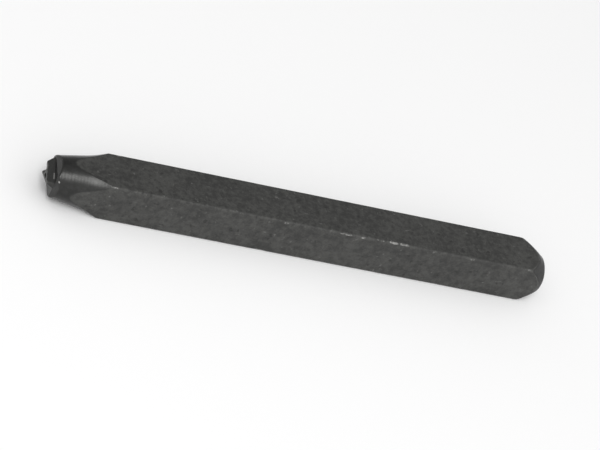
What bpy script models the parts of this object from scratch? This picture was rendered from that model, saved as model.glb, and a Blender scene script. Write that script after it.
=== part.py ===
"""Steel letter punch: a square bar with a turned nose, a raised letter and a chamfered striking head.

The punch lies on one flat along X, its letter towards -X and its head towards +X.
The origin is under the middle of the whole punch, on the surface that it lies on.
"""
from math import acos, atan2, cos, hypot, radians, sin, tan

import bmesh
import bpy
from mathutils import Matrix, Vector

# Square bar, in metres
overall_length = 0.073
bar_side = 0.00635
bar_edge_radius = 0.00035

# Turned nose behind the letter
nose_face_diameter = 0.0058
nose_taper_length = 0.0038
nose_taper_angle = radians(7.0)
nose_blend_radius = 0.0155

# Facets filed away round the letter
relief_flat_width = 0.0038
relief_angle = radians(24.0)
facet_count = 4

# Letter that stands up from the nose face
letter_height = 0.0030
letter_width = 0.0023
letter_relief = 0.00095
stroke_width = 0.00032
stroke_flank_angle = radians(24.0)
crossbar_height = 0.0010
root_depth = 0.0003

# Turned striking head
head_face_diameter = 0.0047
head_chamfer_angle = radians(33.0)
head_edge_radius = 0.0008

# How finely round stretches are drawn, how far cutters pass the metal, and what counts as one point
turning_steps = 90
blend_steps = 9
head_edge_steps = 4
bar_edge_steps = 3
cutter_overrun = 0.002
weld_distance = 0.000002

corner_radius = hypot(bar_side, bar_side) / 2
envelope_radius = corner_radius + bar_edge_radius
letter_crest_x = -overall_length / 2
nose_face_x = letter_crest_x + letter_relief
head_face_x = overall_length / 2
axis_height = bar_side / 2


def clear_scene():
    for leftover in list(bpy.data.objects):
        bpy.data.objects.remove(leftover, do_unlink=True)


def new_collection(name):
    collection = bpy.data.collections.new(name)
    bpy.context.scene.collection.children.link(collection)
    return collection


def add_object(name, mesh, collection):
    solid = bpy.data.objects.new(name, mesh)
    collection.objects.link(solid)
    return solid


def as_cutter(solid):
    solid.hide_render = True
    solid.display_type = 'WIRE'
    return solid


def combine(solid, other, operation):
    modifier = solid.modifiers.new(f"{operation.lower()}_{other.name}", 'BOOLEAN')
    modifier.operation = operation
    modifier.solver = 'EXACT'
    modifier.object = other


def weld_seams(solid):
    """Closes the hairline slivers that cuts leave where three faces meet almost at a point."""
    weld = solid.modifiers.new("weld_seams", 'WELD')
    weld.merge_threshold = weld_distance


def black_steel():
    """Hardened tool steel with a black oxide finish."""
    material = bpy.data.materials.new("black_oxide_steel")
    material.use_nodes = True
    shader = material.node_tree.nodes["Principled BSDF"]
    shader.inputs["Base Color"].default_value = (0.066, 0.066, 0.062, 1.0)
    shader.inputs["Metallic"].default_value = 0.85
    shader.inputs["Roughness"].default_value = 0.45
    return material


def block(size, matrix):
    """A box of the given size, placed by a matrix, as a mesh."""
    bm = bmesh.new()
    bmesh.ops.create_cube(bm, size=1.0, matrix=matrix @ Matrix.Diagonal((*size, 1.0)))
    mesh = bpy.data.meshes.new("block")
    bm.to_mesh(mesh)
    bm.free()
    return mesh


def square_bar(collection):
    """The drawn bar that the punch is made from, a little longer than the punch at each end."""
    length = overall_length + 2 * cutter_overrun
    bar = add_object("letter_punch", block((length, bar_side, bar_side), Matrix()), collection)
    bar.location.z = axis_height
    edges = bar.modifiers.new("rounded_edges", 'BEVEL')
    edges.width = bar_edge_radius
    edges.segments = bar_edge_steps
    return bar


def nose_profile():
    """Points (x, radius) of the taper and of the blend that runs out through the bar's edges."""
    face_radius = nose_face_diameter / 2
    front_x = letter_crest_x - cutter_overrun / 2
    blend_x = nose_face_x + nose_taper_length
    blend_start_radius = face_radius + nose_taper_length * tan(nose_taper_angle)
    rise = envelope_radius - blend_start_radius
    end_angle = acos(cos(nose_taper_angle) - rise / nose_blend_radius)
    points = [(front_x, face_radius - (nose_face_x - front_x) * tan(nose_taper_angle))]
    for step in range(blend_steps + 1):
        angle = nose_taper_angle + (end_angle - nose_taper_angle) * step / blend_steps
        points.append((blend_x + nose_blend_radius * (sin(angle) - sin(nose_taper_angle)),
                       blend_start_radius + nose_blend_radius * (cos(nose_taper_angle) - cos(angle))))
    return points


def head_profile():
    """Points (x, radius) of the chamfer and of the rounded edge of the striking face."""
    face_radius = head_face_diameter / 2
    chamfer_length = (envelope_radius - face_radius) / tan(head_chamfer_angle)
    turn = radians(90.0) - head_chamfer_angle
    tangent = head_edge_radius * tan(turn / 2)
    points = [(head_face_x - chamfer_length, envelope_radius)]
    for step in range(head_edge_steps + 1):
        angle = turn * (1 - step / head_edge_steps)
        points.append((head_face_x - head_edge_radius * (1 - cos(angle)),
                       face_radius - tangent + head_edge_radius * sin(angle)))
    return points


def turned_envelope(collection):
    """The round form that the lathe leaves: nose, clearance past the bar's edges and head."""
    profile = [*nose_profile(), *head_profile()]
    outline = [(profile[0][0], 0.0), *profile, (head_face_x, 0.0)]
    mesh = bpy.data.meshes.new("turned_envelope")
    bm = bmesh.new()
    # The profile stands along Z and runs down from the nose, and turning it about Y lays it along X
    points = [bm.verts.new((radius, 0.0, -x)) for x, radius in outline]
    for upper, lower in zip(points, points[1:]):
        bm.edges.new((upper, lower))
    bm.to_mesh(mesh)
    bm.free()
    envelope = add_object("turned_envelope", mesh, collection)
    envelope.rotation_euler.y = radians(-90.0)
    envelope.location.z = axis_height
    screw = envelope.modifiers.new("turning", 'SCREW')
    screw.axis = 'Z'
    screw.angle = radians(360.0)
    screw.steps = screw.render_steps = turning_steps
    screw.use_merge_vertices = True
    screw.merge_threshold = 0.00001
    screw.use_smooth_shade = True
    return as_cutter(envelope)


def face_matrix():
    """Places letter sketches: X across the letter, Y up the letter, Z out of the nose face."""
    across = Vector((0.0, 0.0, -1.0))
    up = Vector((0.0, -1.0, 0.0))
    out = Vector((-1.0, 0.0, 0.0))
    frame = Matrix((across, up, out)).transposed().to_4x4()
    return Matrix.Translation((nose_face_x, 0.0, axis_height)) @ frame


def ridge(name, start, end, crest_width, crest_margin, collection):
    """A bar with sloping flanks between two points of the letter sketch."""
    start, end = Vector(start), Vector(end)
    run = end - start
    spread = (letter_relief + root_depth) * tan(stroke_flank_angle)
    bm = bmesh.new()
    bmesh.ops.create_cube(bm, size=1.0)
    for vert in bm.verts:
        grow = 0.0 if vert.co.z > 0 else 2 * spread
        vert.co.x *= run.length + 2 * crest_margin + grow
        vert.co.y *= crest_width + grow
        vert.co.z = letter_relief if vert.co.z > 0 else -root_depth
    middle = (start + end) / 2
    turn = Matrix.Translation((*middle, 0.0)) @ Matrix.Rotation(atan2(run.y, run.x), 4, 'Z')
    bmesh.ops.transform(bm, matrix=face_matrix() @ turn, verts=bm.verts)
    mesh = bpy.data.meshes.new(name)
    bm.to_mesh(mesh)
    bm.free()
    return as_cutter(add_object(name, mesh, collection))


def raised_letter(collection):
    """A plain capital A: two legs and a crossbar, trimmed level at its feet and its top."""
    half_height = letter_height / 2
    foot = (letter_width - stroke_width) / 2
    crossbar_y = -half_height + crossbar_height
    crossbar_reach = foot * (1 - crossbar_height / letter_height)
    apex = (0.0, half_height)
    letter = ridge("letter_leg_left", (-foot, -half_height), apex, stroke_width, stroke_width, collection)
    right_leg = ridge("letter_leg_right", (foot, -half_height), apex, stroke_width, stroke_width, collection)
    crossbar = ridge("letter_crossbar", (-crossbar_reach, crossbar_y), (crossbar_reach, crossbar_y),
                     stroke_width, 0.0, collection)
    trim = ridge("letter_trim", (-foot, 0.0), (foot, 0.0), letter_height, letter_width, collection)
    combine(letter, right_leg, 'UNION')
    combine(letter, crossbar, 'UNION')
    combine(letter, trim, 'INTERSECT')
    return letter


def end_form(collection):
    """The nose end that is left: filed facets that slope away from a flat, and the letter on it."""
    depth = head_face_x - nose_face_x + cutter_overrun
    half_turn = radians(180.0) / facet_count
    flat_radius = relief_flat_width / 2 / cos(half_turn)
    base_radius = flat_radius + depth / tan(relief_angle) / cos(half_turn)
    place = face_matrix() @ Matrix.Translation((0.0, 0.0, -depth / 2)) @ Matrix.Rotation(half_turn, 4, 'Z')
    bm = bmesh.new()
    bmesh.ops.create_cone(bm, cap_ends=True, segments=facet_count, radius1=base_radius,
                          radius2=flat_radius, depth=depth, matrix=place)
    mesh = bpy.data.meshes.new("end_form")
    bm.to_mesh(mesh)
    bm.free()
    form = as_cutter(add_object("end_form", mesh, collection))
    combine(form, raised_letter(collection), 'UNION')
    return form


def build():
    clear_scene()
    parts = new_collection("letter_punch")
    cutters = new_collection("cutters")
    punch = square_bar(parts)
    punch.data.materials.append(black_steel())
    combine(punch, turned_envelope(cutters), 'INTERSECT')
    combine(punch, end_form(cutters), 'INTERSECT')
    weld_seams(punch)


build()
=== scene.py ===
# Steel letter punch lying on one flat: turned nose, filed facets, raised letter, chamfered head.
import functools
import math
import random

import bmesh
import bpy
from mathutils import Matrix, Vector, noise


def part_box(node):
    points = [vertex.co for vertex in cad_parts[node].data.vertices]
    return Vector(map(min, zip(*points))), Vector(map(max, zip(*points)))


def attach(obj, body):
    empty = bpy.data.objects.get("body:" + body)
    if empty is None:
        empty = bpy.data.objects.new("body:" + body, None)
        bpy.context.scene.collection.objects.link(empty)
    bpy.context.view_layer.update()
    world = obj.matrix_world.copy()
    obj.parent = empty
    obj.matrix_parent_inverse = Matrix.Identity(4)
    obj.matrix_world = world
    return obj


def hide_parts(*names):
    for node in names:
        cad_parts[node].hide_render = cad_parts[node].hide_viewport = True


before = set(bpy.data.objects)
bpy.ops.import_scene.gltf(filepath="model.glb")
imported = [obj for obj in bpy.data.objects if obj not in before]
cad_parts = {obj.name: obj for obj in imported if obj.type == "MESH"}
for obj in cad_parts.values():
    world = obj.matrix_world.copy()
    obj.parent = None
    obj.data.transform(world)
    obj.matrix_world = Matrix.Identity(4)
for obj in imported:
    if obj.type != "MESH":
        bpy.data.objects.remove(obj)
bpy.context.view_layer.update()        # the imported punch: one node on one body
low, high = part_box("letter_punch")


def newObject(name, bm):
    mesh = bpy.data.meshes.new(name)
    bm.to_mesh(mesh)
    bm.free()
    made = bpy.data.objects.new(name, mesh)
    bpy.context.scene.collection.objects.link(made)
    return made


def softLeast(one, other, soft):           # the smaller of two sizes, rounded where they cross
    near = max(soft - abs(one - other), 0.0) / soft
    return min(one, other) - near * near * soft / 4


noiseSet = {
    "coarseShare": 0.35,
    "fineShare": 0.15,
    "fineScale": 2.3,                      # how much finer the fine part is
    "coarseLine": (0.7, 0.2),              # where each part runs through the noise
    "fineLine": (4.7, 1.9),
}


def noiseSum(place):                       # 0 to 1, with coarse and fine parts
    coarse = noise.noise(Vector((place, *noiseSet["coarseLine"])))
    fine = noise.noise(Vector((place * noiseSet["fineScale"], *noiseSet["fineLine"])))
    return 0.5 + noiseSet["coarseShare"] * coarse + noiseSet["fineShare"] * fine


# The bar: lengths in metres, x from the letter to the head, radii from the axis
barSet = {
    "letterRelief": 0.00095,               # how far the letter stands out of the face
    "edgeRadius": 0.00035,                 # rounding along the four ridges
    "turnSteps": 256,                      # points round the punch
    "ridgeCrowding": 0.5,                  # how far they crowd towards the ridges, 0 to 1
    "stationGap": 0.0006,                  # between the rings of points along the bar
    "waviness": 0.000004,                  # how far the flats dip by hand grinding
    "wavinessScale": 260.0,
}

hair = 1e-7                                # less than any two points lie apart
halfSide = (high.y - low.y) / 2
axisZ = (low.z + high.z) / 2               # height of the axis over the floor
faceX = low.x + barSet["letterRelief"]     # the end face that the letter stands on
headX = high.x                             # the striking face
ridgeRadius = math.sqrt(2) * (halfSide - barSet["edgeRadius"]) + barSet["edgeRadius"]
outside = ridgeRadius + barSet["edgeRadius"]   # of the blank, clear of the ridges

latheSet = {
    "ringPitch": 0.00042,
    "drift": 1.5,                          # how far the rings stray from an even pitch, in radians
    "driftScale": 700.0,
    "driftLine": (3.1, 0.0),
    "chatter": 0.0000018,                  # scatter from one tool mark to the next
    "chatterScale": 11000.0,
}


def toolMark(x, depth):                    # how deep the lathe tool has cut at x
    drift = latheSet["drift"] * noise.noise(Vector((x * latheSet["driftScale"], *latheSet["driftLine"])))
    chatter = noiseSum(x * latheSet["chatterScale"]) * latheSet["chatter"]
    return depth * (0.5 + 0.5 * math.sin(math.tau * x / latheSet["ringPitch"] + drift)) + chatter


noseSet = {
    "faceRadius": 0.0028,
    "taperLength": 0.0038,
    "taperAngle": math.radians(9.7),
    "blendRadius": 0.0155,                 # sweep from the taper out into the bar
    "reach": 0.0079,                       # how far behind the face the lathe has touched the bar
    "faceRings": 92,                       # rings of points from the axis to the rim
    "stations": 112,                       # rings of points from the rim to the end of the reach
    "stationCrowding": 1.2,                # above 1, they crowd towards the rim
    "archSoftness": 0.00005,               # rounding where the nose meets the flats
    "ringDepth": 0.0000045,
    "ringFade": 0.5,                       # share of their depth that the rings lose along the reach
}


def noseRadius(behind):                    # radius of the turned nose, a distance behind its face
    taper = noseSet["taperAngle"]
    run = behind - noseSet["taperLength"]
    if run <= 0:
        return noseSet["faceRadius"] + behind * math.tan(taper)
    start = noseSet["faceRadius"] + noseSet["taperLength"] * math.tan(taper)
    turn = math.asin(min(1.0, math.sin(taper) + run / noseSet["blendRadius"]))
    return start + noseSet["blendRadius"] * (math.cos(taper) - math.cos(turn))


def turnedRadius(behind):                  # radius of the nose with its tool marks
    fade = 1.0 - noseSet["ringFade"] * min(1.0, behind / noseSet["reach"])
    return min(outside, noseRadius(behind)) - toolMark(behind, noseSet["ringDepth"]) * fade


def nosePoints():                          # (x, radius) from the axis to the end of the reach
    face, rings, stations = turnedRadius(0.0), noseSet["faceRings"], noseSet["stations"]
    points = [(faceX, face * ring / rings) for ring in range(rings)]
    for station in range(stations + 1):
        behind = noseSet["reach"] * (station / stations) ** noseSet["stationCrowding"]
        points.append((faceX + behind, turnedRadius(behind)))
    return points


headSet = {
    "faceRadius": 0.00253,
    "chamferAngle": math.radians(33.0),
    "edgeRadius": 0.0008,                  # rounding between the chamfer and the face
    "reach": 0.0036,                       # how far before the face the chamfer starts on the ridges
    "offset": Vector((-0.00020, -0.00020)),  # the chamfer is ground a little off centre
    "stationGap": 0.0001,
    "edgeSteps": 8,
    "faceRings": 9,
    "ringDepth": 0.000002,
    "archSoftness": 0.00025,               # rounding where the chamfer meets the flats
    "archWidth": 0.00016,                  # of the painted highlight line along that edge, drawn as bare steel
    "archHighlight": 0.95,                     # how bright that painted highlight line is, as bare steel
    "archPatches": 5.0,
    "dent": 0.000018,                      # how uneven the hammer has left the face
    "dentScale": 900.0,
}


def headPoints():                          # (x, radius) from the start of the chamfer to the axis
    turn = math.radians(90) - headSet["chamferAngle"]
    flat = headSet["faceRadius"] - headSet["edgeRadius"] * math.tan(turn / 2)
    edgeRun = headSet["edgeRadius"] * (1 - math.cos(turn))
    steps = round((headSet["reach"] - edgeRun) / headSet["stationGap"])
    points = []
    for step in range(steps):
        before = headSet["reach"] + (edgeRun - headSet["reach"]) * step / steps
        radius = min(outside, headSet["faceRadius"] + before * math.tan(headSet["chamferAngle"]))
        points.append((headX - before, radius - toolMark(before, headSet["ringDepth"])))
    for step in range(headSet["edgeSteps"] + 1):
        angle = turn * (1 - step / headSet["edgeSteps"])
        points.append((headX - headSet["edgeRadius"] * (1 - math.cos(angle)),
                       flat + headSet["edgeRadius"] * math.sin(angle)))
    for step in range(1, headSet["faceRings"] + 1):
        points.append((headX, flat * (1 - step / headSet["faceRings"])))
    return points


def turnedBlank():                         # the profile spun round the axis
    points = nosePoints()
    start, end = points[-1][0], headX - headSet["reach"]
    steps = round((end - start) / barSet["stationGap"])
    points += [(start + (end - start) * step / steps, outside) for step in range(1, steps)]
    points += headPoints()
    bm = bmesh.new()
    line = [bm.verts.new((x, 0.0, axisZ + radius)) for x, radius in points]
    edges = [bm.edges.new(pair) for pair in zip(line, line[1:])]
    bmesh.ops.spin(bm, geom=line + edges, cent=(0.0, 0.0, axisZ), axis=(1.0, 0.0, 0.0),
                   angle=math.tau, steps=barSet["turnSteps"], use_merge=True)
    bmesh.ops.remove_doubles(bm, verts=bm.verts, dist=hair)
    return bm


def sectionRadius(angle):                  # radius of the square bar with rounded ridges at an angle
    across, along = sorted((abs(math.cos(angle)), abs(math.sin(angle))))
    rounding = barSet["edgeRadius"]
    if halfSide * across / along <= halfSide - rounding:
        return halfSide / along
    inner = (halfSide - rounding) * (across + along)
    return inner + math.sqrt(inner * inner - 2 * (halfSide - rounding) ** 2 + rounding * rounding)


def millFlats(bm):                         # brings the blank in to the square section
    turned = bm.verts.layers.float.new("turned")   # 1 where the lathe has cut, 0 on the flats, a share on the filed end that also darkens it as painted shade
    wearAndGlint = bm.verts.layers.float.new("wearAndGlint")       # how bare the steel is, from real wear and from painted highlights
    for vert in bm.verts:
        y, z = vert.co.y, vert.co.z - axisZ
        atHead = vert.co.x > headX - headSet["reach"]
        if atHead:
            y, z = y + headSet["offset"].x, z + headSet["offset"].y
        radius = math.hypot(y, z)
        if radius < hair:
            vert[turned] = 1.0
            continue
        angle = math.atan2(z, y)
        angle += barSet["ridgeCrowding"] / 4 * math.sin(4 * angle)
        section = sectionRadius(angle)
        if atHead:
            # a painted highlight line where the chamfer meets the flats, drawn as bare steel
            edge = max(0.0, 1.0 - abs(radius - section) / headSet["archWidth"])
            vert[wearAndGlint] = headSet["archHighlight"] * edge * noiseSum(angle * headSet["archPatches"])
        vert[turned] = min(1.0, max(0.0, 0.5 + (section - radius) / noseSet["archSoftness"]))
        radius = softLeast(radius, section, (headSet if atHead else noseSet)["archSoftness"])
        vert.co.y = radius * math.cos(angle)
        vert.co.z = axisZ + radius * math.sin(angle)


wearSet = {
    "ridgeWear": 0.000009,                 # how far the ridges are rubbed down
    "ridgeWearScale": 500.0,
    "ridgeShift": 50.0,                    # so that no two ridges are rubbed alike
    "ridgeWearAndHighlight": (0.0, 0.60),             # how bare the rubbed ridges are, at the nose and at the head; the lighter band towards the head is partly painted highlight
    # Knocks on the ridge between the upper and the front flat: distance behind the face, length, depth, shine
    "frontKnocks": ((0.0074, 0.0012, 0.000014, 0.50), (0.0320, 0.0009, 0.000016, 0.45),
                    (0.0408, 0.0026, 0.000018, 0.50), (0.0433, 0.0010, 0.000022, 0.55),
                    (0.0458, 0.0016, 0.000016, 0.48), (0.0478, 0.0016, 0.000032, 0.74),
                    (0.0494, 0.0017, 0.000026, 0.66), (0.0598, 0.0009, 0.000016, 0.50),
                    (0.0686, 0.0007, 0.000018, 0.48)),
    "frontLean": 0.4,                      # how far the knocks there lean to one side, as a slope
    "knockSeed": 42,
    "otherKnocks": 7,                      # on each of the other three ridges
    "knockLength": (0.0003, 0.0012),
    "knockDepth": (0.000014, 0.000040),
    "knockShine": (0.45, 0.80),
    "knockLean": 0.5,
    "knockRoughness": 0.000006,
    "roughnessScale": 9000.0,
    "shinePatches": 0.7,                   # how patchy the bare steel in a knock is
    "patchScale": 3500.0,
    "refineWidth": 2.2,                    # how far to the sides of a knock the faces are smaller
    "refineMargin": (0.0003, 0.0001),      # added along the ridge and across it
    "refineCuts": 2,
}


def knocks():                              # for each ridge, (x, length, depth, shine, lean) of its knocks
    rng = random.Random(wearSet["knockSeed"])
    lean = wearSet["frontLean"]
    front = [(faceX + behind, length, depth, shine, rng.uniform(-lean, lean))
             for behind, length, depth, shine in wearSet["frontKnocks"]]
    found = {1: front}
    lean = wearSet["knockLean"]
    for ridge in (0, 2, 3):
        found[ridge] = []
        for _ in range(wearSet["otherKnocks"]):
            x = rng.uniform(faceX + noseSet["reach"], headX - headSet["reach"])
            found[ridge].append((x, rng.uniform(*wearSet["knockLength"]), rng.uniform(*wearSet["knockDepth"]),
                                 rng.uniform(*wearSet["knockShine"]), rng.uniform(-lean, lean)))
    return found


def ridgeFrame(ridge):                     # outward and sideways directions of a ridge, in the section
    outY = 1.0 if ridge in (0, 3) else -1.0
    outZ = 1.0 if ridge in (0, 1) else -1.0
    half = math.sqrt(0.5)
    return Vector((outY * half, outZ * half)), Vector((-outZ * half, outY * half))


def ridgeOf(y, z):                         # number of the ridge nearest to a point of the section
    if z >= 0:
        return 0 if y >= 0 else 1
    return 2 if y < 0 else 3


def refinePatches(bm, marks):              # smaller faces where a knock will be
    alongMargin, acrossMargin = wearSet["refineMargin"]
    chosen = []
    for edge in bm.edges:
        middle = (edge.verts[0].co + edge.verts[1].co) / 2
        section = Vector((middle.y, middle.z - axisZ))
        ridge = ridgeOf(section.x, section.y)
        outward, sideways = ridgeFrame(ridge)
        if section.dot(outward) < ridgeRadius - barSet["edgeRadius"]:
            continue
        for x, length, depth, _, _ in marks[ridge]:
            width = wearSet["refineWidth"] * math.sqrt(2 * barSet["edgeRadius"] * depth) + acrossMargin
            if abs(middle.x - x) < length / 2 + alongMargin and abs(section.dot(sideways)) < width:
                chosen.append(edge)
                break
    bmesh.ops.subdivide_edges(bm, edges=chosen, cuts=wearSet["refineCuts"], use_grid_fill=True)


def knockAt(x, side, ridge, knock):        # how far out the bottom of a knock lies, and how bare it is
    place, length, depth, shine, lean = knock
    span = 1.0 - (2 * (x - place) / length) ** 2
    if span <= 0:
        return outside, 0.0
    scale = wearSet["roughnessScale"]
    rough = wearSet["knockRoughness"] * noise.noise(Vector((x * scale, side * scale, ridge)))
    scale = wearSet["patchScale"]
    patchy = 1.0 + wearSet["shinePatches"] * noise.noise(Vector((x * scale, side * scale, ridge)))
    return ridgeRadius - depth * span + lean * side + rough, shine * patchy * min(1.0, 2 * span)


def wearDown(bm, marks):                   # rubs the ridges, knocks them and lets the flats dip a little
    wearAndGlint, turned = bm.verts.layers.float["wearAndGlint"], bm.verts.layers.float["turned"]
    atNose, towardsHead = wearSet["ridgeWearAndHighlight"]
    for vert in bm.verts:
        x = vert.co.x
        section = Vector((vert.co.y, vert.co.z - axisZ))
        ridge = ridgeOf(section.x, section.y)
        outward, sideways = ridgeFrame(ridge)
        out, side = section.dot(outward), section.dot(sideways)
        if out > ridgeRadius - barSet["edgeRadius"] / 2:
            rub = noiseSum(x * wearSet["ridgeWearScale"] + ridge * wearSet["ridgeShift"])
            limit = ridgeRadius - 2 * wearSet["ridgeWear"] * rub   # rub is a half on average
            crest = 1.0 + (out - ridgeRadius) * 2 / barSet["edgeRadius"]
            share = (x - faceX) / (headX - faceX)
            # bare steel along the ridge: partly rubbed wear, partly a painted highlight band that grows
            # towards the head
            wornAndSheen = (atNose + (towardsHead - atNose) * share) * rub * crest
            for knock in marks[ridge]:
                bottom, bare = knockAt(x, side, ridge, knock)
                if out > bottom:
                    wornAndSheen = max(wornAndSheen, bare)
                limit = min(limit, bottom)
            vert[wearAndGlint] = max(vert[wearAndGlint], wornAndSheen)
            out = min(out, limit)
        dip = barSet["waviness"] * (0.5 + 0.5 * noise.noise(vert.co * barSet["wavinessScale"]))
        out -= dip * (1.0 - vert[turned])
        section = outward * out + sideways * side
        vert.co.y, vert.co.z = section.x, section.y + axisZ
        if headX - x < hair:
            vert.co.x -= headSet["dent"] * (0.5 + 0.5 * noise.noise(vert.co * headSet["dentScale"]))


letterSet = {
    "height": 0.0030,
    "width": 0.0023,
    "stroke": 0.00032,
    "flankAngle": math.radians(24.0),
    "crossbarHeight": 0.0010,
    "crestSoftness": 0.00009,
    "hipSoftness": 0.00018,
    "rootSoftness": 0.00006,
    "streakLift": 0.00009,                 # height on the flank of a painted highlight streak, drawn as bare steel
    "streakHalf": 0.0004,                  # half its length
    "streakWidth": 0.00005,
}


def letterHeight(y, z):                    # a plain capital A, its top towards the front
    up, across = -y, abs(z)
    tall, half = letterSet["height"] / 2, letterSet["stroke"] / 2
    foot = letterSet["width"] / 2 - half
    lean = math.atan2(foot, 2 * tall)
    leg = abs(across - foot * (tall - up) / (2 * tall)) * math.cos(lean) - half
    leg = -softLeast(-leg, tall - abs(up), letterSet["hipSoftness"])
    reach = foot * (1 - letterSet["crossbarHeight"] / letterSet["height"])
    bar = max(abs(up + tall - letterSet["crossbarHeight"]) - half, across - reach)
    relief = barSet["letterRelief"]
    flank = relief - min(leg, bar) / math.tan(letterSet["flankAngle"])
    return softLeast(relief, flank, letterSet["crestSoftness"])


def paintedGlintStreak(y, z):                      # painted highlight streak, as bare steel, on the flank of the letter that faces the viewer
    drop = abs(letterHeight(y, z) - letterSet["streakLift"]) * math.sin(letterSet["flankAngle"])
    down = -(y + z) * math.sqrt(0.5)
    if z < 0 or abs(down) >= letterSet["streakHalf"]:
        return 0.0
    return max(0.0, 1.0 - drop / letterSet["streakWidth"])


faceSet = {
    "facetStart": (0.0024, 0.0019, 0.0019, 0.0023),   # distances from the axis: back, top, front, bottom
    "facetAngle": math.radians(24.0),
    "facetSoftness": 0.000012,             # rounding where two filed faces meet
    "fileDepth": 0.000012,
    "fileScale": 7000.0,
    "fileSlant": (0.35, -0.2, 0.5, -0.45), # how the file ran over each facet
    "fileShift": 40.0,                     # so that no two facets have the same strokes
    "fileSheenAndShade": 0.75,                     # 0 as dull and light as the flats of the bar, 1 as smooth and dark as the turned nose; the darker colour is painted shade on the end
    "flatDepth": 0.000003,                 # of the file marks round the letter
    "flatSlant": 0.3,
    "edgeProbe": 0.00005,
    "edgeLift": 0.000020,                  # how far a fully worn edge stands over its surroundings
    "edgeShine": 0.55,
    "edgePatchiness": 0.8,
    "edgePatches": 1800.0,
    "edgeLayer": 0.4,                      # where the patches are cut from the noise
    "rimRounds": 4,                        # of finding where a facet meets the taper
    "rimFollow": 0.0016,                   # how far behind the face the turned stations follow the rim
    "rimRadius": 0.00014,
    "rimCut": 0.28,                        # how much of that the rounding takes off the corner
    # bare patches round the rounded rim: partly wear, partly painted highlight
    "rimWearAndHighlight": 0.50,
    "rimPatches": 500.0,
    "viewerNickAndGlint": (-0.00240, 0.00144, 0.00018, 0.00003, 1.0),   # y, z from the axis, radius, depth, shine; its bare steel is a painted highlight spot towards the viewer
    "nickSeed": 48,
    "nicks": 6,                            # besides the one that faces the viewer
    "nickRadius": (0.00005, 0.00012),
    "nickDepth": (0.00001, 0.00003),
    "nickShine": (0.4, 0.9),
    "nickGlint": 1.5,                      # above 1, the bare steel reaches nearer to the edge of a nick
}


def filedHeight(y, z):                     # the flat and the facets round it, above the plane of the face
    height = -faceSet["flatDepth"] * noiseSum((y + z * faceSet["flatSlant"]) * faceSet["fileScale"])
    for side, (start, slant) in enumerate(zip(faceSet["facetStart"], faceSet["fileSlant"])):
        turn = side * math.pi / 2
        out = y * math.cos(turn) + z * math.sin(turn)
        along = z * math.cos(turn) - y * math.sin(turn)
        stroke = noiseSum((along + out * slant) * faceSet["fileScale"] + side * faceSet["fileShift"])
        facet = (start - out) * math.tan(faceSet["facetAngle"]) - faceSet["fileDepth"] * stroke
        height = softLeast(height, facet, faceSet["facetSoftness"])
    return height


def endHeight(y, z):                       # the letter among its facets
    return -softLeast(-filedHeight(y, z), -letterHeight(y, z), letterSet["rootSoftness"])


@functools.lru_cache(maxsize=None)
def rimAt(angle):                          # how far behind the face the rim lies at an angle
    behind = 0.0
    for _ in range(faceSet["rimRounds"]):
        radius = noseRadius(behind)
        behind = -filedHeight(radius * math.cos(angle), radius * math.sin(angle))
    return behind


def edgeWear(y, z):                        # above 0 where an edge stands out, 0 on flats and in hollows
    probe = faceSet["edgeProbe"]
    around = sum(endHeight(y + dy, z + dz) for dy, dz in ((probe, 0), (-probe, 0), (0, probe), (0, -probe)))
    lift = (endHeight(y, z) - around / 4) / faceSet["edgeLift"]
    patch = noise.noise(Vector((y, z, faceSet["edgeLayer"])) * faceSet["edgePatches"])
    return min(1.0, max(0.0, lift * (faceSet["edgeShine"] + faceSet["edgePatchiness"] * patch)))


def rimNicks():                            # (y, z, radius, depth, shine) of each nick in the rim
    rng = random.Random(faceSet["nickSeed"])
    # the nick towards the viewer is a real dent whose bare steel paints a highlight spot
    found = [faceSet["viewerNickAndGlint"]]
    for _ in range(faceSet["nicks"]):
        angle = rng.uniform(0.0, math.tau)
        found.append((noseSet["faceRadius"] * math.cos(angle), noseSet["faceRadius"] * math.sin(angle),
                      rng.uniform(*faceSet["nickRadius"]), rng.uniform(*faceSet["nickDepth"]),
                      rng.uniform(*faceSet["nickShine"])))
    return found


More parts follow.
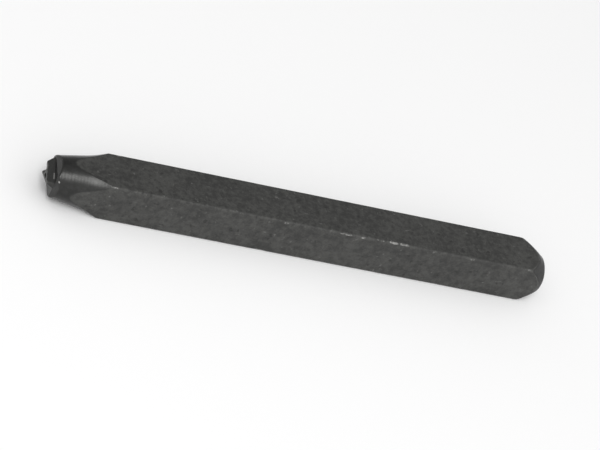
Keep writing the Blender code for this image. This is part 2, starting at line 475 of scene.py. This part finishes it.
def fileEnd(bm):                           # files the facets round the letter and rounds the rim
    wearAndGlint, turned = bm.verts.layers.float["wearAndGlint"], bm.verts.layers.float["turned"]
    filed = bm.verts.layers.float.new("filed")
    face, rounding = turnedRadius(0.0), faceSet["rimRadius"]
    nicks = rimNicks()
    for vert in bm.verts:
        behind = vert.co.x - faceX
        if behind > faceSet["rimFollow"]:
            continue
        y, z = vert.co.y, vert.co.z - axisZ
        radius, angle = math.hypot(y, z), math.atan2(z, y)
        rim = rimAt(round(angle, 5))       # the same for all points on a spoke
        if behind < hair and radius < face - hair:
            radius *= turnedRadius(rim) / face
            y, z = radius * math.cos(angle), radius * math.sin(angle)
            behind = -endHeight(y, z)
            inside = turnedRadius(rim) - radius
            # the filed end takes part of the turned finish: smoother, and darker in colour as painted shade
            vert[turned], vert[filed] = faceSet["fileSheenAndShade"], 1.0
            # the letter's edges wear bare; the streak is a painted highlight
            vert[wearAndGlint] = max(edgeWear(y, z), paintedGlintStreak(y, z))
        else:
            behind += rim * (1.0 - behind / faceSet["rimFollow"])
            radius = turnedRadius(behind)
            inside = behind - rim
        if inside < rounding:
            share = (1.0 - inside / rounding) ** 2
            behind += faceSet["rimCut"] * rounding * share
            radius -= faceSet["rimCut"] * rounding * share
            # rim patches: partly wear, partly painted highlight drawn as bare steel
            patch = 0.5 + noise.noise(Vector((y, z, 0.0)) * faceSet["rimPatches"])
            vert[wearAndGlint] = max(vert[wearAndGlint], share * faceSet["rimWearAndHighlight"] * patch)
        y, z = radius * math.cos(angle), radius * math.sin(angle)
        for nickY, nickZ, size, depth, shine in nicks:
            away = math.hypot(y - nickY, z - nickZ, behind - rim)
            if away < size:
                dent = 1.0 - (away / size) ** 2
                behind += depth * dent
                vert[wearAndGlint] = max(vert[wearAndGlint], min(1.0, faceSet["nickGlint"] * shine * dent))
        vert.co = Vector((faceX + behind, y, axisZ + z))


def makePunch():
    bm = turnedBlank()
    print("turned blank:", len(bm.verts), "points")
    millFlats(bm)
    marks = knocks()
    refinePatches(bm, marks)
    wearDown(bm, marks)
    fileEnd(bm)
    bmesh.ops.recalc_face_normals(bm, faces=bm.faces)
    made = newObject("punch_body", bm)
    made.data.shade_smooth()
    return made


punch = makePunch()
punch.data.calc_loop_triangles()
print("punch:", len(punch.data.loop_triangles), "triangles")
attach(punch, "root")
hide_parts("letter_punch")


class Signal:                              # a shader socket that takes part in sums
    def __init__(self, nodes, socket):
        self.nodes, self.socket = nodes, socket

    def sum(self, operation, *values):
        return self.nodes.node("Math", {"operation": operation}, values)

    def __add__(self, other):
        return self.sum('ADD', self, other)

    __radd__ = __add__

    def __sub__(self, other):
        return self.sum('SUBTRACT', self, other)

    def __rsub__(self, other):
        return self.sum('SUBTRACT', other, self)

    def __mul__(self, other):
        return self.sum('MULTIPLY', self, other)

    __rmul__ = __mul__

    def between(self, start, end, lowest=0.0, highest=1.0):   # lowest at start, highest at end
        limits = {"Value": self, "From Min": start, "From Max": end, "To Min": lowest, "To Max": highest}
        return self.nodes.node("MapRange", {"interpolation_type": 'SMOOTHSTEP'}, limits)


class Nodes:                               # the nodes of a material or of the world
    def __init__(self, tree):
        self.tree = tree

    def link(self, socket, value):
        if isinstance(value, Signal):
            self.tree.links.new(value.socket, socket)
        else:
            socket.default_value = value

    def node(self, kind, settings=None, values=(), output=0):
        made = self.tree.nodes.new("ShaderNode" + kind)
        for name, value in (settings or {}).items():
            setattr(made, name, value)
        pairs = values.items() if isinstance(values, dict) else enumerate(values)
        for key, value in pairs:
            self.link(made.inputs[key], value)
        return Signal(self, made.outputs[output])

    def place(self, output):
        return self.node("TexCoord", output=output)


class Finish(Nodes):                       # a material
    def __init__(self, name):
        self.material = bpy.data.materials.new(name)
        self.material.use_nodes = True
        super().__init__(self.material.node_tree)
        self.shader = self.tree.nodes["Principled BSDF"]

    def feed(self, socket, value):
        self.link(self.shader.inputs[socket], value)

    def attribute(self, name):
        return self.node("Attribute", {"attribute_name": name}, output="Fac")

    def stretched(self, factors):          # object coordinates stretched along the axes
        return self.node("Mapping", None, {"Vector": self.place("Object"), "Scale": factors})

    def grain(self, where, scale, detail, roughness=0.55):
        return self.node("TexNoise", None, {"Vector": where, "Scale": scale, "Detail": detail,
                                            "Roughness": roughness})

    def blend(self, factor, one, other):   # colours sit in sockets 6 and 7 of a Mix node, and leave by 2
        return self.node("Mix", {"data_type": 'RGBA'}, {0: factor, 6: one, 7: other}, 2)


steelSet = {
    "turnedDark": (0.035, 0.035, 0.034, 1.0),
    "turnedLight": (0.046, 0.046, 0.045, 1.0),
    "flatDark": (0.036, 0.036, 0.0345, 1.0),
    "flatLight": (0.074, 0.074, 0.070, 1.0),
    "pitDark": (0.022, 0.022, 0.021, 1.0),
    # bare steel: the colour of real wear, and of the painted highlights on ridges, rim, head edge and letter
    "bareSteel": (0.36, 0.356, 0.345, 1.0),
    # Grains are given by scale, detail and roughness, the last where it isn't the usual one
    "toneGrains": ((3800.0, 3.0, 0.6), (1400.0, 2.0), (260.0, 3.0)),   # fine, middle and broad mottling
    "toneShares": (0.3, 0.42, 0.28),
    "toneRange": (0.37, 0.64),                 # noise levels that give the dark and the light colour
    "fleckGrain": (1500.0, 2.0),               # light flecks in the oxide of the flats
    "fleckRange": (0.64, 0.80),
    "fleckShare": 0.25,                        # how bare they are
    "pitGrain": (1150.0, 1.0),                 # dark pits in the flats
    "pitRange": (0.33, 0.24),
    "pitShare": 0.7,
    "strokeStretch": (0.3, 1.0, 0.06),         # file strokes run up and down the end
    "strokeGrain": (14000.0, 3.0),
    "strokeRange": (0.30, 0.70),
    "strokeShare": 0.6,
    "bareGrain": (16000.0, 2.0),               # at the edge of bare patches
    "bareLift": 0.4,
    "bareRange": (0.34, 0.80),
    "rubShare": 0.12,                          # how bare a lightly rubbed place is
    "flatMetallic": 0.5,
    "turnedMetallic": 0.85,
    "flatRoughness": 0.52,
    "turnedRoughness": 0.29,
    "bareRoughness": 0.30,
    "flatVariation": 0.18,                     # of the roughness
    "turnedVariation": 0.06,
    "ringStretch": (1.0, 0.04, 0.04),          # fine marks that run round the turned surfaces
    "ringGrain": (9000.0, 3.0),
    "bumpDistance": 0.00002,
    "bumpStrength": 0.5,
    "flatBump": 0.6,
    "turnedBump": 0.5,
    "strokeBump": 2.5,
}


def blackOxide():
    finish = Finish("black_oxide_steel")
    even = finish.place("Object")
    turned, wearAndGlint, filed = (finish.attribute(name) for name in ("turned", "wearAndGlint", "filed"))
    flats = 1 - turned
    fine, middle, broad = (finish.grain(even, *sizes) for sizes in steelSet["toneGrains"])
    fineShare, middleShare, broadShare = steelSet["toneShares"]
    mottling = fine * fineShare + middle * middleShare + broad * broadShare
    tone = mottling.between(*steelSet["toneRange"])
    strokes = finish.grain(finish.stretched(steelSet["strokeStretch"]), *steelSet["strokeGrain"])
    tone = tone + (strokes.between(*steelSet["strokeRange"]) - tone) * filed * steelSet["strokeShare"]
    flecks = finish.grain(even, *steelSet["fleckGrain"]).between(*steelSet["fleckRange"]) * flats
    pits = finish.grain(even, *steelSet["pitGrain"]).between(*steelSet["pitRange"]) * flats
    # bare steel from real wear and from the painted highlights held in the same attribute
    grainy = wearAndGlint * (steelSet["bareLift"] + finish.grain(even, *steelSet["bareGrain"]))
    bare = grainy.between(*steelSet["bareRange"])
    bare = bare + (1 - bare) * wearAndGlint * steelSet["rubShare"]
    bare = bare + (1 - bare) * flecks * steelSet["fleckShare"]

    flat = finish.blend(tone, steelSet["flatDark"], steelSet["flatLight"])
    lathed = finish.blend(tone, steelSet["turnedDark"], steelSet["turnedLight"])
    # turned also darkens the colour of the filed end: painted shade there
    oxide = finish.blend(pits * steelSet["pitShare"], finish.blend(turned, flat, lathed), steelSet["pitDark"])
    finish.feed("Base Color", finish.blend(bare, oxide, steelSet["bareSteel"]))
    metallic = steelSet["flatMetallic"] + turned * (steelSet["turnedMetallic"] - steelSet["flatMetallic"])
    finish.feed("Metallic", metallic + (1 - metallic) * bare)
    roughness = steelSet["flatRoughness"] + turned * (steelSet["turnedRoughness"] - steelSet["flatRoughness"])
    variation = steelSet["flatVariation"] + turned * (steelSet["turnedVariation"] - steelSet["flatVariation"])
    roughness = roughness + (fine - 0.5) * variation
    finish.feed("Roughness", roughness + (steelSet["bareRoughness"] - roughness) * bare)

    rings = finish.grain(finish.stretched(steelSet["ringStretch"]), *steelSet["ringGrain"])
    marks = rings + (strokes * steelSet["strokeBump"] - rings) * filed
    height = fine * flats * steelSet["flatBump"] + marks * turned * steelSet["turnedBump"]
    finish.feed("Normal", finish.node("Bump", None, {"Strength": steelSet["bumpStrength"],
                                                     "Distance": steelSet["bumpDistance"], "Height": height}))
    return finish.material


punch.data.materials.clear()
punch.data.materials.append(blackOxide())
print("finish: black oxide with bare ridges")

floorSet = {"half": 1.5, "colour": (0.97, 0.97, 0.97, 1.0), "roughness": 0.8}


def makeFloor():
    bm = bmesh.new()
    bmesh.ops.create_grid(bm, x_segments=1, y_segments=1, size=floorSet["half"])
    floor = newObject("floor", bm)
    finish = Finish("floor_paint")
    finish.feed("Base Color", floorSet["colour"])
    finish.feed("Roughness", floorSet["roughness"])
    floor.data.materials.append(finish.material)


makeFloor()

studioSet = {
    "centre": Vector((0.0, 0.0, axisZ)),
    "white": (1.0, 1.0, 1.0, 1.0),
    "brightSide": Vector((0.4, -0.9, 0.0)),
    "roomBack": 0.46,                      # the room behind the punch is dimmer than the room in front
    "roomFront": 1.10,
    "roomEdges": (-0.8, 0.8),              # between these cosines to the bright side it changes
    "keyFrom": Vector((-0.23, -0.55, 0.83)),
    "keyDistance": 0.5,
    "keyWidth": 0.13,
    "keyHeight": 0.24,
    "keyPower": 0.74,
}


def makeStudio():
    world = bpy.data.worlds.new("studio")
    world.use_nodes = True
    room = Nodes(world.node_tree)
    towards = (room.place("Generated"), studioSet["brightSide"].normalized())
    side = room.node("VectorMath", {"operation": 'DOT_PRODUCT'}, towards, "Value")
    background = room.tree.nodes["Background"]
    room.link(background.inputs["Color"], studioSet["white"])
    room.link(background.inputs["Strength"],
              side.between(*studioSet["roomEdges"], studioSet["roomBack"], studioSet["roomFront"]))
    bpy.context.scene.world = world
    lamp = bpy.data.lights.new("key", 'AREA')
    lamp.shape = 'RECTANGLE'
    lamp.size, lamp.size_y = studioSet["keyWidth"], studioSet["keyHeight"]
    lamp.energy = studioSet["keyPower"]
    holder = bpy.data.objects.new("key", lamp)
    bpy.context.scene.collection.objects.link(holder)
    holder.location = studioSet["centre"] + studioSet["keyFrom"].normalized() * studioSet["keyDistance"]
    holder.rotation_euler = studioSet["keyFrom"].to_track_quat('Z', 'Y').to_euler()


makeStudio()

cameraSet = {
    "azimuth": math.radians(-29.25),       # from the front towards the nose
    "elevation": math.radians(40.7),
    "distance": 0.388,
    "roll": math.radians(31.3),            # the punch was seen with its nose propped up
    "lens": 172.0,                         # millimetres
    "nearest": 0.01,                       # nearest distance that it sees
}


def makeCamera():
    turn, rise = cameraSet["azimuth"], cameraSet["elevation"]
    back = Vector((math.sin(turn) * math.cos(rise), -math.cos(turn) * math.cos(rise), math.sin(rise)))
    camera = bpy.data.objects.new("camera", bpy.data.cameras.new("camera"))
    bpy.context.scene.collection.objects.link(camera)
    camera.location = studioSet["centre"] + back * cameraSet["distance"]
    level = (-back).to_track_quat('-Z', 'Y').to_matrix()
    camera.rotation_euler = (level @ Matrix.Rotation(cameraSet["roll"], 3, 'Z')).to_euler()
    camera.data.lens = cameraSet["lens"]
    camera.data.clip_start = cameraSet["nearest"]
    bpy.context.scene.camera = camera


makeCamera()
bpy.context.scene.view_settings.view_transform = 'Standard'
print("studio and camera set")
